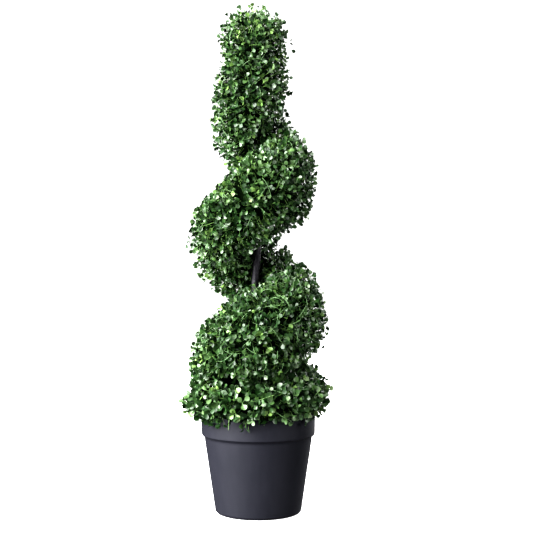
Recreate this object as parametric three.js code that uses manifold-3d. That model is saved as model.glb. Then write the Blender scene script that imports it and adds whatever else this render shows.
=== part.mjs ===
// Spiral topiary of artificial box: a rope of plastic box sprigs wound round an upright rod, in a
// plain plastic pot. Millimetres, +Z up. The origin is the middle of the pot's flat underside, and
// the spiral starts on the -X side and climbs anticlockwise as seen from above.
import * as THREE from "three";
import { mergeVertices } from "three/addons/utils/BufferGeometryUtils.js";
import Module from "manifold-3d";

const wasm = await Module();
wasm.setup();

const { degToRad, lerp, smoothstep } = THREE.MathUtils;
const TURN = 2 * Math.PI;
const GOLDEN_ANGLE = Math.PI * (3 - Math.sqrt(5));

// ---------------------------------------------------------------- driving dimensions
const GAP = 0.3; // left between solids that touch
const WELD = 1e-3; // corners closer than this are one corner

const POT_HEIGHT = 177;
const RIM_RADIUS = 102; // outside of the band round the mouth
const BAND_HEIGHT = 37;
const BAND_DRAFT = 1; // how much narrower the band is at its lower edge
const STEP_IN = 4.7; // the wall steps in by this much under the band
const STEP_DROP = 4.5;
const FOOT_RADIUS = 76; // where the straight wall would meet the ground
const FOOT_ROUNDING = 7;
const WALL = 3;
const FILL_BELOW_RIM = 12;
const POT_SIDES = 44;

const ROD_FOOT_RADIUS = 7.5;
const ROD_TIP_RADIUS = 5;
const ROD_TIP_HEIGHT = 838;
const ROD_SIDES = 9;
const ROD_RINGS = 20;
const LEAN = 0.013; // towards -X, for each unit of height above the rim
const SWAY = 4; // the rod winds a little, by this much either way
const SWAY_LENGTH = 258; // of one turn of it
const SWAY_PHASE = degToRad(20);
const SWAY_EASE = 120; // height over which the sway sets in

const TURNS = 3.32; // of the rope, from the pot to its top
const START_ANGLE = -Math.PI;
const KNOT_TURNS = 0.5; // between the places at which the rope's line is given
const KNOT_HEIGHTS = [197, 213, 263, 356, 508, 602, 732, 858]; // of the rope's middle
const KNOT_RADII = [73, 66, 60, 61, 55, 48, 13, -21]; // from the rod's line to the rope's middle
const FRONT_RISE = 16; // how much higher than its sides the second turn's front is
const RISING = { from: 0.6, full: 1.1, falling: 1.5, over: 2 }; // turns over which that rise sets in and ends
const HALF_WIDTH = { foot: 62, top: 60.5 }; // reach of the leaves from the rope's middle, sideways
const HALF_HEIGHT = { foot: 40, body: 88, top: 80 }; // and upwards: at its start, after a turn, at its top
const SECTION_POWER = { body: 2.1, top: 4 }; // 2 is an oval, and more is squarer
const SQUARING_TURNS = 2.9; // after which the section grows squarer, towards the blunt top
const SECTION_SAG = 0.125; // how much wider the section is at its bottom than at its middle
const SAG_ENDS = { from: 2.6, to: 3.1 };

const MASSES = 10;
const CORE_SHARE = 0.68; // of the rope's section, taken up by the wrapped core
const CORE_SIDES = 12;
const CORE_RINGS = 5;
const DOME_RINGS = 2;
const DOME_ANGLE = degToRad(75);
const STATION_COUNT = 301; // places along the rope at which its reach is worked out
const DROOP = 22; // how far leaves hang below the rim, outside the pot
const STEM_RADIUS = 3;
const STEM_SIDES = 5;
const TAPER = 0.8; // of a stem or twig, from its root to its tip

const SPRIGS_PER_MASS = 34;
const END_SPRIGS = 9; // more of them, round each end of the rope
const END_SPRIG_START = 0.4; // of the step between two of them, from the end's pole to the first
const SPRIG_SLANT = 0.4; // along the rope
const BARE_END = 0.08; // the share of a mass's length without sprigs, at either end
const SPACE_MARGIN = 1.2; // kept to the space of the next mass
const LIMB_MARGIN = 1.5; // kept to the rod and the pot
const TWIG_RADIUS = 2.4;
const LEAF_LENGTH = 29;
const LEAF_WIDTH = 22;
const LEAF_THICKNESS = 2;
const LEAF_OUTLINE = [[0, 0], [0.6, -0.5], [0.95, -0.26], [0.95, 0.26], [0.6, 0.5]]; // of length and width
const LEAVES_PER_WHORL = 4;
const LEAF_SPLAY = degToRad(57); // between a leaf and its twig
const LEAF_SPLAY_RANGE = degToRad(9); // more or less
const LEAF_RISE = 21; // of the leaves over the end of their twig
const LEAF_REACH = 1.04; // the share of the rope's reach that a leaf may take up
const WHORL_TRIES = 5;
const FEWEST_LEAVES = 2; // that a sprig is made with
const ROOT_DEPTH = 8; // how deep a twig starts below the core's surface
const LEAST_TWIG = 12;
const LEAF_STEP = 3; // along the twig from leaf to leaf of a whorl

// ---------------------------------------------------------------- materials
const potPlastic = new THREE.MeshStandardMaterial({ color: 0x3b3c44, roughness: 0.62, metalness: 0 });
const castFill = new THREE.MeshStandardMaterial({ color: 0x2e2a26, roughness: 0.95, metalness: 0 });
const rodWrap = new THREE.MeshStandardMaterial({ color: 0x2f2b30, roughness: 0.55, metalness: 0 });
const boxLeaf = new THREE.MeshStandardMaterial({ color: 0x3a6a2c, roughness: 0.4, metalness: 0 });

// ---------------------------------------------------------------- shapes
// A repeatable source of numbers from 0 to 1.
function randomFrom(seed) {
  let state = seed >>> 0;
  return () => {
    state = (state + 0x6d2b79f5) >>> 0;
    let mixed = Math.imul(state ^ (state >>> 15), state | 1);
    mixed ^= mixed + Math.imul(mixed ^ (mixed >>> 7), mixed | 61);
    return ((mixed ^ (mixed >>> 14)) >>> 0) / 2 ** 32;
  };
}

// A closed skin over rings of equally many points, with a flat fan over each end.
function loft(rings) {
  const sides = rings[0].length;
  const corners = rings.flat();
  const faces = [];
  for (let ring = 0; ring + 1 < rings.length; ring += 1) {
    for (let side = 0; side < sides; side += 1) {
      const a = ring * sides + side;
      const b = ring * sides + ((side + 1) % sides);
      faces.push(a, b, a + sides, b, b + sides, a + sides);
    }
  }
  const last = (rings.length - 1) * sides;
  for (let side = 1; side + 1 < sides; side += 1) {
    faces.push(0, side + 1, side);
    faces.push(last, last + side, last + side + 1);
  }
  return new THREE.BufferGeometry().setFromPoints(corners).setIndex(faces);
}

// A closed geometry as a solid that can be joined and cut.
function toSolid(geometry) {
  const bare = geometry.clone();
  bare.deleteAttribute("normal");
  bare.deleteAttribute("uv");
  const merged = mergeVertices(bare, WELD);
  const corners = merged.index.array;
  const kept = [];
  for (let i = 0; i < corners.length; i += 3) {
    const [a, b, c] = corners.slice(i, i + 3);
    if (a !== b && b !== c && c !== a) kept.push(a, b, c);
  }
  return new wasm.Manifold(
    new wasm.Mesh({
      numProp: 3,
      vertProperties: merged.attributes.position.array,
      triVerts: new Uint32Array(kept),
    }),
  );
}

function toGeometry(solid) {
  const { vertProperties, triVerts } = solid.getMesh();
  const geometry = new THREE.BufferGeometry();
  geometry.setAttribute("position", new THREE.BufferAttribute(vertProperties, 3));
  geometry.setIndex(new THREE.BufferAttribute(triVerts, 1));
  geometry.computeVertexNormals();
  return geometry;
}

// The largest of a solid's bodies, without loose scraps and sealed hollows.
function largestBody(solid) {
  return solid.decompose().reduce((best, body) => (body.volume() > best.volume() ? body : best));
}

function named(name, geometry, material) {
  const mesh = new THREE.Mesh(geometry, material);
  mesh.name = name;
  return mesh;
}

// A straight tapering limb between two points.
function limb(from, to, fromRadius, toRadius, sides) {
  const along = to.clone().sub(from);
  const geometry = new THREE.CylinderGeometry(toRadius, fromRadius, along.length(), sides);
  const axis = new THREE.Vector3(0, 1, 0);
  geometry.applyQuaternion(new THREE.Quaternion().setFromUnitVectors(axis, along.clone().normalize()));
  const middle = from.clone().add(to).multiplyScalar(0.5);
  return geometry.translate(middle.x, middle.y, middle.z);
}

// ---------------------------------------------------------------- pot
const BAND_FOOT = POT_HEIGHT - BAND_HEIGHT;
const WALL_TOP_RADIUS = RIM_RADIUS - BAND_DRAFT - STEP_IN;
const WALL_TOP = BAND_FOOT - STEP_DROP;
const FILL_TOP = POT_HEIGHT - FILL_BELOW_RIM;

// The pot wall's outside radius at a height, with the foot taken as sharp.
function potRadius(height) {
  if (height >= BAND_FOOT) {
    return lerp(RIM_RADIUS - BAND_DRAFT, RIM_RADIUS, (height - BAND_FOOT) / BAND_HEIGHT);
  }
  if (height >= WALL_TOP) {
    return lerp(WALL_TOP_RADIUS, RIM_RADIUS - BAND_DRAFT, (height - WALL_TOP) / STEP_DROP);
  }
  return lerp(FOOT_RADIUS, WALL_TOP_RADIUS, height / WALL_TOP);
}

function pot() {
  const point = (radius, height) => new THREE.Vector2(radius, height);
  const outside = (height) => point(potRadius(height), height);
  const inside = (height) => point(potRadius(height) - WALL, height);
  const profile = [point(0, 0)];
  const arcSteps = 4;
  for (let i = 0; i <= arcSteps; i += 1) {
    const angle = (i / arcSteps) * (Math.PI / 2);
    const height = FOOT_ROUNDING * (1 - Math.cos(angle));
    profile.push(point(potRadius(height) - FOOT_ROUNDING * (1 - Math.sin(angle)), height));
  }
  profile.push(outside(WALL_TOP), outside(BAND_FOOT));
  profile.push(outside(POT_HEIGHT - WALL / 2), point(RIM_RADIUS - WALL / 3, POT_HEIGHT));
  profile.push(point(RIM_RADIUS - (2 * WALL) / 3, POT_HEIGHT), inside(POT_HEIGHT - WALL / 2));
  profile.push(inside(BAND_FOOT), inside(WALL_TOP), inside(WALL), point(0, WALL));
  return named("pot", new THREE.LatheGeometry(profile, POT_SIDES).rotateX(Math.PI / 2), potPlastic);
}

// The cast filling that holds the rod. It fills the pot to a little below the rim.
function potFill() {
  const foot = WALL + GAP;
  const edge = (height) => new THREE.Vector2(potRadius(height) - WALL - GAP, height);
  const profile = [
    new THREE.Vector2(0, foot),
    edge(foot),
    edge(WALL_TOP),
    edge(BAND_FOOT),
    edge(FILL_TOP),
    new THREE.Vector2(0, FILL_TOP),
  ];
  return named("pot_fill", new THREE.LatheGeometry(profile, POT_SIDES).rotateX(Math.PI / 2), castFill);
}

// ---------------------------------------------------------------- rod
function leanAt(height) {
  return -LEAN * Math.max(0, height - POT_HEIGHT);
}

// The rod's middle and radius at a height.
function rodAt(height) {
  const share = (height - FILL_TOP) / (ROD_TIP_HEIGHT - FILL_TOP);
  const sway = SWAY * smoothstep(height, FILL_TOP, FILL_TOP + SWAY_EASE);
  const angle = (TURN * height) / SWAY_LENGTH + SWAY_PHASE;
  return {
    centre: new THREE.Vector3(leanAt(height) + sway * Math.cos(angle), sway * Math.sin(angle), height),
    radius: lerp(ROD_FOOT_RADIUS, ROD_TIP_RADIUS, THREE.MathUtils.clamp(share, 0, 1)),
  };
}

function rodSkin(foot, tip, extra) {
  const rings = [];
  for (let i = 0; i <= ROD_RINGS; i += 1) {
    const { centre, radius } = rodAt(lerp(foot, tip, i / ROD_RINGS));
    const ring = [];
    for (let side = 0; side < ROD_SIDES; side += 1) {
      const angle = (TURN * side) / ROD_SIDES;
      const out = radius + extra;
      ring.push(new THREE.Vector3(Math.cos(angle) * out, Math.sin(angle) * out, 0).add(centre));
    }
    rings.push(ring);
  }
  return loft(rings);
}

function rod() {
  return named("trunk", rodSkin(FILL_TOP + GAP, ROD_TIP_HEIGHT, 0), rodWrap);
}

// ---------------------------------------------------------------- the rope's line and reach
const SPEED_STEP = 1e-3; // turns over which the rope's direction is taken

// A smooth line through values that stand a knot's length apart, as a cubic between each two.
function throughKnots(values, turns) {
  const last = values.length - 1;
  const knot = THREE.MathUtils.clamp(Math.floor(turns / KNOT_TURNS), 0, last - 1);
  const share = turns / KNOT_TURNS - knot;
  const slope = (i) => (values[Math.min(i + 1, last)] - values[Math.max(i - 1, 0)]) / (i % last === 0 ? 1 : 2);
  const ease = share * share * (3 - 2 * share);
  const bend = share * (1 - share);
  const curved = bend * ((1 - share) * slope(knot) - share * slope(knot + 1));
  return lerp(values[knot], values[knot + 1], ease) + curved;
}

// The middle of the rope after so many turns.
function ropeMiddle(turns) {
  const angle = START_ANGLE + TURN * turns;
  const setIn = smoothstep(turns, RISING.from, RISING.full) - smoothstep(turns, RISING.falling, RISING.over);
  const height = throughKnots(KNOT_HEIGHTS, turns) - FRONT_RISE * setIn * Math.sin(angle);
  const radius = Math.max(throughKnots(KNOT_RADII, turns), 0);
  return new THREE.Vector3(leanAt(height) + radius * Math.cos(angle), radius * Math.sin(angle), height);
}

// The rope after so many turns: its middle, the three directions of its section and how far its
// leaves reach there. The speed is its length for each turn.
function ropeAt(turns) {
  const share = turns / TURNS;
  const middle = ropeMiddle(turns);
  const along = ropeMiddle(turns + SPEED_STEP).sub(ropeMiddle(turns - SPEED_STEP));
  const speed = along.length() / (2 * SPEED_STEP);
  along.normalize();
  const angle = START_ANGLE + TURN * turns;
  const out = new THREE.Vector3(Math.cos(angle), Math.sin(angle), 0);
  out.addScaledVector(along, -out.dot(along)).normalize();
  const grown = smoothstep(turns, 0, 1);
  const halfWidth = lerp(HALF_WIDTH.foot, HALF_WIDTH.top, share);
  const halfHeight = lerp(HALF_HEIGHT.foot, lerp(HALF_HEIGHT.body, HALF_HEIGHT.top, share), grown);
  const squaring = smoothstep(turns, SQUARING_TURNS, TURNS);
  const power = lerp(SECTION_POWER.body, SECTION_POWER.top, squaring);
  const sag = SECTION_SAG * (1 - smoothstep(turns, SAG_ENDS.from, SAG_ENDS.to));
  const across = along.clone().cross(out).normalize(); // upwards, square to the rope
  const reachAlong = (line) => Math.hypot(halfHeight * line.z, halfWidth * Math.hypot(line.x, line.y));
  return { turns, middle, along, speed, out, across, halfWidth, halfHeight, power, sag, reachAlong };
}

const STATIONS = Array.from({ length: STATION_COUNT }, (_, i) => ropeAt((TURNS * i) / (STATION_COUNT - 1)));

// The place on the rope that a point belongs to, and its share of the reach there: 1 is the
// outline of the leaves.
function placeOf(point) {
  let best = { share: Infinity };
  for (const station of STATIONS) {
    const upright = (point.z - station.middle.z) / station.halfHeight;
    const wide = station.halfWidth * (1 - station.sag * THREE.MathUtils.clamp(upright, -1, 1));
    const level = Math.hypot(point.x - station.middle.x, point.y - station.middle.y) / wide;
    const share = (level ** station.power + Math.abs(upright) ** station.power) ** (1 / station.power);
    if (share < best.share) best = { turns: station.turns, speed: station.speed, share };
  }
  return best;
}

// Whether a point is at least a margin away from the rod.
function clearOfRod(point, margin) {
  if (point.z > ROD_TIP_HEIGHT + margin) return true;
  const { centre, radius } = rodAt(point.z);
  return Math.hypot(point.x - centre.x, point.y - centre.y) > radius + margin;
}

// Whether a point is at least a margin away from the pot and its filling, and not far below the rim.
function clearOfPot(point, margin) {
  const radius = Math.hypot(point.x, point.y);
  if (point.z < POT_HEIGHT - DROOP) return false;
  if (point.z > POT_HEIGHT + margin) return true;
  if (radius > potRadius(point.z) + margin) return true;
  return radius < potRadius(point.z) - WALL - margin && point.z > FILL_TOP + margin;
}

// ---------------------------------------------------------------- foliage
// A leaf in a blunt spoon outline, flat beneath and ridged above, from its root at the origin
// along +X, with its face towards +Z.
function leafGeometry() {
  const corner = ([along, across]) => new THREE.Vector3(along * LEAF_LENGTH, across * LEAF_WIDTH, 0);
  const rim = LEAF_OUTLINE.map(corner);
  const peak = new THREE.Vector3(LEAF_LENGTH / 2, 0, LEAF_THICKNESS);
  const faces = [];
  for (let i = 0; i < rim.length; i += 1) faces.push(i, (i + 1) % rim.length, rim.length);
  for (let i = 2; i < rim.length; i += 1) faces.push(1, (i + 1) % rim.length, i);
  return new THREE.BufferGeometry().setFromPoints([...rim, peak]).setIndex(faces);
}

const LEAF = leafGeometry();

// The leaf with its root at a point, growing along one direction with its face towards another.
function placedLeaf(root, direction, facing) {
  const across = facing.clone().cross(direction).normalize();
  const normal = direction.clone().cross(across).normalize();
  const basis = new THREE.Matrix4().makeBasis(direction, across, normal).setPosition(root);
  return LEAF.clone().applyMatrix4(basis);
}

// The corners of a geometry's faces and the middles of their edges.
function testPoints(geometry) {
  const flat = geometry.toNonIndexed().attributes.position;
  const corner = (i) => new THREE.Vector3().fromBufferAttribute(flat, i);
  const points = [];
  for (let face = 0; face < flat.count; face += 3) {
    for (let i = 0; i < 3; i += 1) {
      const start = corner(face + i);
      points.push(start, start.clone().lerp(corner(face + ((i + 1) % 3)), 0.5));
    }
  }
  return points;
}

// The leaves of a sprig whose twig starts at a place on the rope and grows along a direction. They
// stand round the twig's end, the first one at an angle, and those that don't fit are left out.
function whorl(station, direction, length, firstAngle, fits) {
  const side = new THREE.Vector3().crossVectors(direction, station.along).normalize();
  const leaves = [];
  for (let i = 0; i < LEAVES_PER_WHORL; i += 1) {
    const angle = firstAngle + (TURN * i) / LEAVES_PER_WHORL;
    const splay = LEAF_SPLAY + LEAF_SPLAY_RANGE * Math.cos(angle * 2);
    const growth = direction.clone().multiplyScalar(Math.cos(splay));
    growth.addScaledVector(side.clone().applyAxisAngle(direction, angle), Math.sin(splay));
    const root = station.middle.clone().addScaledVector(direction, length - i * LEAF_STEP);
    const leaf = placedLeaf(root, growth, direction);
    if (fits(leaf)) leaves.push(leaf);
  }
  return leaves;
}

// The solids of one sprig: a twig that starts inside the core, with the fullest whorl that fits.
function sprig(station, direction, space, fits, random) {
  const start = CORE_SHARE * station.reachAlong(direction) - ROOT_DEPTH;
  const at = (distance) => station.middle.clone().addScaledVector(direction, distance);
  let length = start + LEAST_TWIG;
  while (space(at(length + LEAF_RISE), 1)) length += 1;
  const twig = limb(at(start), at(length + TWIG_RADIUS), TWIG_RADIUS, TWIG_RADIUS * TAPER, 3);
  let best = [];
  for (let i = 0; i < WHORL_TRIES; i += 1) {
    const leaves = whorl(station, direction, length, TURN * random(), fits);
    if (leaves.length > best.length) best = leaves;
  }
  return best.length >= FEWEST_LEAVES && fits(twig, true) ? [twig, ...best] : [];
}

// The short stem that carries a mass, from the rod's line to the middle of the rope.
function stemTo(station) {
  const { centre } = rodAt(station.middle.z);
  return limb(centre, station.middle, STEM_RADIUS, STEM_RADIUS * TAPER, STEM_SIDES);
}

// ---------------------------------------------------------------- masses
const CUTS = Array.from({ length: MASSES + 1 }, (_, i) => (TURNS * i) / MASSES);

// One ring of the core's skin: a share of the rope's section, grown by an extra thickness.
function coreRing(station, middle, share, extra) {
  const wide = station.halfWidth * share + extra;
  const high = station.reachAlong(station.across) * share + extra;
  return Array.from({ length: CORE_SIDES }, (_, side) => {
    const angle = (TURN * side) / CORE_SIDES;
    const corner = middle.clone().addScaledVector(station.out, Math.cos(angle) * wide);
    return corner.addScaledVector(station.across, Math.sin(angle) * high);
  });
}

// The rings of the dome that closes the core at an end of the rope, from the rope outwards.
function domeRings(station, sign, extra) {
  const reach = station.reachAlong(station.along) * CORE_SHARE + extra;
  return Array.from({ length: DOME_RINGS }, (_, i) => {
    const angle = (DOME_ANGLE * (i + 1)) / DOME_RINGS;
    const middle = station.middle.clone().addScaledVector(station.along, sign * reach * Math.sin(angle));
    return coreRing(station, middle, CORE_SHARE * Math.cos(angle), extra);
  });
}

// The wrapped core of one mass, domed where the rope ends and flat where the next mass follows.
function core(index, extra) {
  const from = ropeAt(CUTS[index]);
  const to = ropeAt(CUTS[index + 1]);
  const rings = [];
  for (let i = 0; i <= CORE_RINGS; i += 1) {
    const station = ropeAt(lerp(from.turns, to.turns, i / CORE_RINGS));
    const middle = station.middle.clone();
    if (i === 0) middle.addScaledVector(station.along, -extra);
    if (i === CORE_RINGS) middle.addScaledVector(station.along, extra);
    rings.push(coreRing(station, middle, CORE_SHARE, extra));
  }
  if (index === 0) rings.unshift(...domeRings(from, -1, extra).reverse());
  if (index === MASSES - 1) rings.push(...domeRings(to, 1, extra));
  return toSolid(loft(rings));
}

// The room that the pot and its filling take up: the cores rest a gap above both.
function potRoom() {
  const mouth = potRadius(FILL_TOP) - WALL - 2 * GAP;
  const beyond = 2 * RIM_RADIUS;
  const profile = [
    new THREE.Vector2(0, 0),
    new THREE.Vector2(beyond, 0),
    new THREE.Vector2(beyond, POT_HEIGHT + GAP),
    new THREE.Vector2(mouth, POT_HEIGHT + GAP),
    new THREE.Vector2(mouth, FILL_TOP + GAP),
    new THREE.Vector2(0, FILL_TOP + GAP),
  ];
  return new THREE.LatheGeometry(profile, POT_SIDES).rotateX(Math.PI / 2);
}

const GROWN_CORES = CUTS.slice(1).map((_, index) => core(index, GAP));
const ROD_ROOM = toSolid(rodSkin(FILL_TOP, ROD_TIP_HEIGHT + GAP, GAP));
const POT_ROOM = toSolid(potRoom());

// The directions in which a mass's sprigs stand out of its core, each with its place on the rope.
function sprigLines(index, random) {
  const lines = [];
  for (let i = 0; i < SPRIGS_PER_MASS; i += 1) {
    const share = lerp(BARE_END, 1 - BARE_END, (i + 0.5) / SPRIGS_PER_MASS);
    const station = ropeAt(lerp(CUTS[index], CUTS[index + 1], share));
    const angle = i * GOLDEN_ANGLE + index;
    const direction = station.out.clone().multiplyScalar(Math.cos(angle));
    direction.addScaledVector(station.across, Math.sin(angle));
    direction.addScaledVector(station.along, SPRIG_SLANT * (random() - 0.5));
    lines.push({ station, direction: direction.normalize() });
  }
  const station = index === 0 ? ropeAt(0) : ropeAt(TURNS);
  const pole = index === 0 ? station.along.clone().negate() : station.along;
  const count = index === 0 || index === MASSES - 1 ? END_SPRIGS : 0;
  for (let i = 0; i < count; i += 1) {
    const slope = ((i + END_SPRIG_START) / END_SPRIGS) * (Math.PI / 2);
    const angle = i * GOLDEN_ANGLE;
    const direction = pole.clone().multiplyScalar(Math.cos(slope));
    direction.addScaledVector(station.out, Math.sin(slope) * Math.cos(angle));
    direction.addScaledVector(station.across, Math.sin(slope) * Math.sin(angle));
    lines.push({ station, direction: direction.normalize() });
  }
  return lines;
}

// One mass: a length of core with its stem from the rod and its sprigs, all fused.
function mass(index) {
  const random = randomFrom(index + 1);
  const others = GROWN_CORES.filter((_, other) => other !== index);
  const space = (point, reach) => {
    const place = placeOf(point);
    const margin = SPACE_MARGIN / place.speed;
    if (place.share > reach) return false;
    if (index > 0 && place.turns < CUTS[index] + margin) return false;
    if (index < MASSES - 1 && place.turns > CUTS[index + 1] - margin) return false;
    return clearOfRod(point, LIMB_MARGIN) && clearOfPot(point, LIMB_MARGIN);
  };
  const stem = toSolid(stemTo(ropeAt((CUTS[index] + CUTS[index + 1]) / 2)));
  let solid = core(index, 0).add(stem).subtract(ROD_ROOM).subtract(POT_ROOM);
  for (const earlier of GROWN_CORES.slice(0, index)) solid = solid.subtract(earlier);
  const fits = (geometry, isRooted) => {
    if (!testPoints(geometry).every((point) => space(point, LEAF_REACH))) return false;
    const piece = toSolid(geometry);
    if (!isRooted && !solid.intersect(piece).isEmpty()) return false;
    return others.every((other) => other.intersect(piece).isEmpty());
  };
  for (const line of sprigLines(index, random)) {
    for (const piece of sprig(line.station, line.direction, space, fits, random)) {
      solid = solid.add(toSolid(piece));
    }
  }
  const name = `foliage_${String(index + 1).padStart(2, "0")}`;
  return named(name, toGeometry(largestBody(solid)), boxLeaf);
}

// ---------------------------------------------------------------- the whole tree
const topiary = new THREE.Group();
topiary.name = "spiral_topiary";
topiary.add(pot(), potFill(), rod());
for (let index = 0; index < MASSES; index += 1) topiary.add(mass(index));

export default topiary;
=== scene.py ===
# An artificial boxwood spiral topiary in a charcoal plastic pot. A rope of moulded box sprigs winds
# up a film-wrapped rod. Metres, +Z up, with the origin in the middle of the pot's underside.
import math

import bmesh
import bpy
import numpy as np
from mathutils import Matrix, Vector


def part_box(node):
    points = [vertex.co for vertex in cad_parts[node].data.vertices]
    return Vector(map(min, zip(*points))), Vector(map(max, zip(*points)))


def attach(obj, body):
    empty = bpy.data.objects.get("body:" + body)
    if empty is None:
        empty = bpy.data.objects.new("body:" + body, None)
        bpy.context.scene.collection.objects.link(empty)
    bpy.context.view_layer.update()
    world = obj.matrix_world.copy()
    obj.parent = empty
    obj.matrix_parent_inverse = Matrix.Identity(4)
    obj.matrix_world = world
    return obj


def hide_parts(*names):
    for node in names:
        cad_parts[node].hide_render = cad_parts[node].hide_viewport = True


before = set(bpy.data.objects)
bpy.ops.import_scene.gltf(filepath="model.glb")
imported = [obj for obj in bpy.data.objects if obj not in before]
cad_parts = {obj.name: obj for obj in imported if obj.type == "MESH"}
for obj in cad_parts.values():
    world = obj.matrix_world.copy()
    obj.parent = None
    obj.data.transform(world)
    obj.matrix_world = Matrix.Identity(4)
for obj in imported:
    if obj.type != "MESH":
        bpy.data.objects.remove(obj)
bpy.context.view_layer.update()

TURN = 2 * math.pi
MM = 0.001
SEED = 20

# ------------------------------------------------------------------ sizes, as in the part's source
pot_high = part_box("pot")[1]
rod_low, rod_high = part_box("trunk")

POT_HEIGHT = pot_high.z
RIM_RADIUS = pot_high.x
FILL_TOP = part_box("pot_fill")[1].z
ROD_TIP_HEIGHT = rod_high.z
BAND_HEIGHT = 37 * MM
BAND_DRAFT = 1 * MM
STEP_IN = 4.7 * MM
STEP_DROP = 4.5 * MM
FOOT_RADIUS = 76 * MM
FOOT_ROUNDING = 7 * MM
LIP_ROUNDING = 1.1 * MM
EDGE_ROUNDING = 1.2 * MM  # of the band's lower edge
WALL = 3 * MM
BAND_FOOT = POT_HEIGHT - BAND_HEIGHT
WALL_TOP = BAND_FOOT - STEP_DROP
BAND_RADIUS = RIM_RADIUS - BAND_DRAFT
WALL_TOP_RADIUS = BAND_RADIUS - STEP_IN

ROD_FOOT_RADIUS = 7.5 * MM
ROD_TIP_RADIUS = 5 * MM
LEAN = 0.013
SWAY = 4 * MM
SWAY_PHASE = math.radians(20)
SWAY_EASE = 120 * MM
SWAY_LENGTH = 258 * MM

TURNS = 3.32
START_ANGLE = -math.pi
KNOT_TURNS = 0.5  # between the places at which the rope's line is given
KNOT_HEIGHTS = np.array([197, 213, 263, 356, 508, 602, 732, 858]) * MM
KNOT_RADII = np.array([73, 66, 60, 61, 55, 48, 13, -21]) * MM
FRONT_RISE = 16 * MM  # how much higher than its sides the second turn's front is
FRONT_RISES = ((0.6, 1.1), (1.5, 2))  # turns over which that rise sets in, and ends
HALF_WIDTH = (62 * MM, 60.5 * MM)  # at the rope's foot and at its top
HALF_HEIGHT = (40 * MM, 88 * MM, 80 * MM)  # at its start, after a turn and at its top
FULL_HEIGHT = (0.3, 1.1)  # turns over which the rope grows to its full height
SECTION_POWER = (2.1, 4)  # 2 is an oval, and more is squarer
SQUARING_TURNS = 2.9
SECTION_SAG = 0.125  # how much wider the section is at its bottom than at its middle
SAG_ENDS = (2.6, 3.1)
MASSES = 10
FOLIAGE = [f"foliage_{index + 1:02d}" for index in range(MASSES)]

# ------------------------------------------------------------------ sizes of the finer growth
WRAP_PITCH = 17 * MM  # of the film's turns round the rod
WRAP_OVERLAP = 0.45 * MM
WRAP_SUNK = 0.6 * MM
PLEAT_HEIGHT = 0.28 * MM
LUMP_HEIGHT = 0.35 * MM
STATIONS = 401  # places on the rope's line at which its section is worked out
CORE_SHARE = 0.54  # of the rope's reach
CORE_LUMPS = 0.07  # of the core's radius
CORE_LUMP_WAVES = 150  # in radians to the metre
CORE_GAP = {"filling": 2 * MM, "rim": 3 * MM, "wall": 4 * MM}
DROOP = 22 * MM  # over the pot's rim in front and behind
SIDE_DROOP = 6 * MM  # over its sides, where less hangs down
DROOP_GROWS = (0.25, 0.6)  # shares of the pot's radius, forwards or backwards
SPRIG_SPACING = 7.9 * MM
SPRIG_TRIES = 40000
SPRIG_CAP = 70 * MM  # how far past the rope's ends the sprigs' places go
SPRIG_FAN = 25 * MM  # how much of its first direction a sprig keeps when it goes to its nearest place
SPRIG_DEPTH = 28 * MM  # from a sprig's root to the end of its stem
SHORTEST_STEM = 9 * MM
STEM_SHARE = (0.8, 1.0)  # of the depth that is free for a stem
SPRIG_SHARE = 0.97  # of the rope's reach
FIRST_REACH = 20 * MM
REACH_STEP = 2.5 * MM
LEAST_REACH = 30 * MM  # from the rope's middle to a sprig's end
TIP_INSET = 7 * MM  # from the end of a sprig's stem to its reach
SPRIG_TILT = 0.42  # sideways, as a share of a sprig's length
SPRIG_BOW = 1.6  # the power by which the tilt grows along a stem
UNEVENNESS = 1.6 * MM  # of the sprigs' lengths
SPRIG_CLEAR = 2.5 * MM  # of the pot
STEM_CLEAR = 1.5 * MM  # of the rod
TRIMS = (  # turns, and how far leaves reach there upwards and to the left together
    (0.7, 0.85, 1.2, 1.35, 1.7, 1.85, 2.35, 2.5),
    (2, 0.432, 0.432, 2, 2, 0.648, 0.648, 2),
)
OWN_SIDE = (5 * MM, -80 * MM)  # how far on its own side of the rod a leaf stays, low and high up
OWN_SIDE_ENDS = (2.3, 2.6)  # turns
LEAF_PAIRS = (0.5, 0.78)  # places of the pairs along a sprig's stem
LEAF_LENGTH = (10.0 * MM, 14.0 * MM)
LEAF_TURNS = (0, 1.2, 2.6, TURNS)
LEAF_GROWTH = (1.13, 0.92, 0.92, 0.85)  # of the leaves' length at those turns
END_LEAF = 0.85  # of the others' length
SPLAY = {"pair": 62, "end": 38, "spread": 13}  # degrees between a leaf and its stem
STRAY_SHARE = 0.09  # of the sprigs, which stand out past the others
STRAY_REACH = (4 * MM, 9.5 * MM)
LEAF_ASPECT = (0.62, 0.86)
LEAF_CUP = (0.1, 0.55)
LEAF_CURL = (-0.12, 0.22)
LEAF_TURNED = 0.45  # how much the leaves' faces turn away from their stems' direction
LEAF_SPACING = 4.7 * MM
LEAF_SHARE = {"most": 1.12, "stray": 1.3}  # of the rope's reach
LEAF_MIDDLE = 0.6  # of its length
LEAF_CLEAR = {"trim": 5 * MM, "rod": 3 * MM, "pot": 1 * MM}  # how far past the trim, or clear
PAIR_SCATTER = 0.03  # of a stem's length
LEAF_TWIST = 0.3  # in radians, round the stem
STEM_RADIUS = 0.75 * MM
CROWN_STRAYS = (  # x and z of the long bare stems' ends
    (-65 * MM, 874 * MM),
    (-54 * MM, 882 * MM),
    (-33 * MM, 895 * MM),
    (-15 * MM, 898 * MM),
    (32 * MM, 881 * MM),
    (41 * MM, 868 * MM),
)
CROWN_STRAY_DEPTH = 36 * MM
CROWN_STRAY_Y = (-14, 4)  # in millimetres
CROWN_STRAY_FOOT = 0.55  # how near the middle their roots are, as a share of their ends' distance
RUNNERS = 560  # thin bare stems that lie over the leaves
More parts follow.
